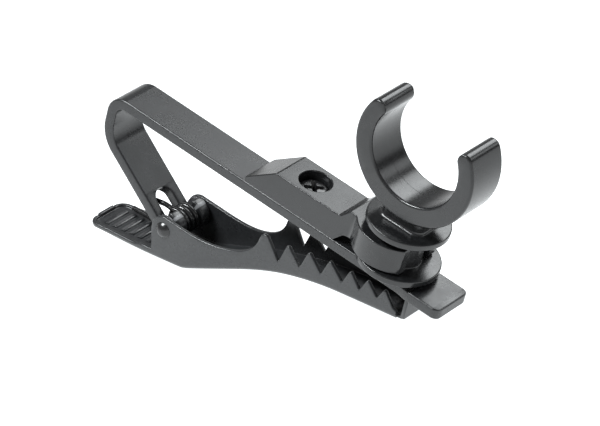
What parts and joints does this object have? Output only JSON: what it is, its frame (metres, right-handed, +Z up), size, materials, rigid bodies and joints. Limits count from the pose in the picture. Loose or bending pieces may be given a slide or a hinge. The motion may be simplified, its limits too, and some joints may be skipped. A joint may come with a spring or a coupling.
{
  "type": "lavalier microphone tie clip",
  "caption": "Small sprung alligator tie clip with toothed lower jaw and a C-shaped microphone ring that swivels on a snap collar.",
  "frame": {"origin": "middle of the outline on the surface the clip stands on, closed, on its heel and the tip of its lower jaw", "axes": "+X along the clip towards the nose and the microphone, +Y across it and along the microphone's axis, +Z up"},
  "size_m": [0.051, 0.0088, 0.024],
  "materials": {
    "coated_steel": "satin black coating with a fine grain",
    "coated_sheet": "satin black coating with a fine grain",
    "black_hardware": "semi-gloss black",
    "washer_steel": "dark satin",
    "spring_wire": "semi-gloss black",
    "moulded_plastic": "semi-matte black"
  },
  "bodies": {
    "clip": {"clip_arm": "coated_steel", "swivel_bracket": "moulded_plastic", "fixing_screw": "black_hardware"},
    "jaw": {"lower_jaw": "coated_sheet", "hinge_rivet": "black_hardware", "near_washer": "washer_steel", "far_washer": "washer_steel", "torsion_spring": "spring_wire"},
    "holder": {"mic_holder": "moulded_plastic"}
  },
  "joints": [
    {"name": "jaw_hinge", "type": "hinge", "parent": "clip", "child": "jaw", "pos_m": [-0.01469, 0, 0.00403], "axis": [0, 1, 0], "range_deg": [0, 50], "stiffness_Nm_per_rad": 0.04, "springref_deg": -85.94, "deforming": ["torsion_spring"]},
    {"name": "holder_swivel", "type": "hinge", "parent": "clip", "child": "holder", "pos_m": [0.01325, 0, 0.00498], "axis": [0.362, 0, 0.9322], "continuous": true}
  ]
}
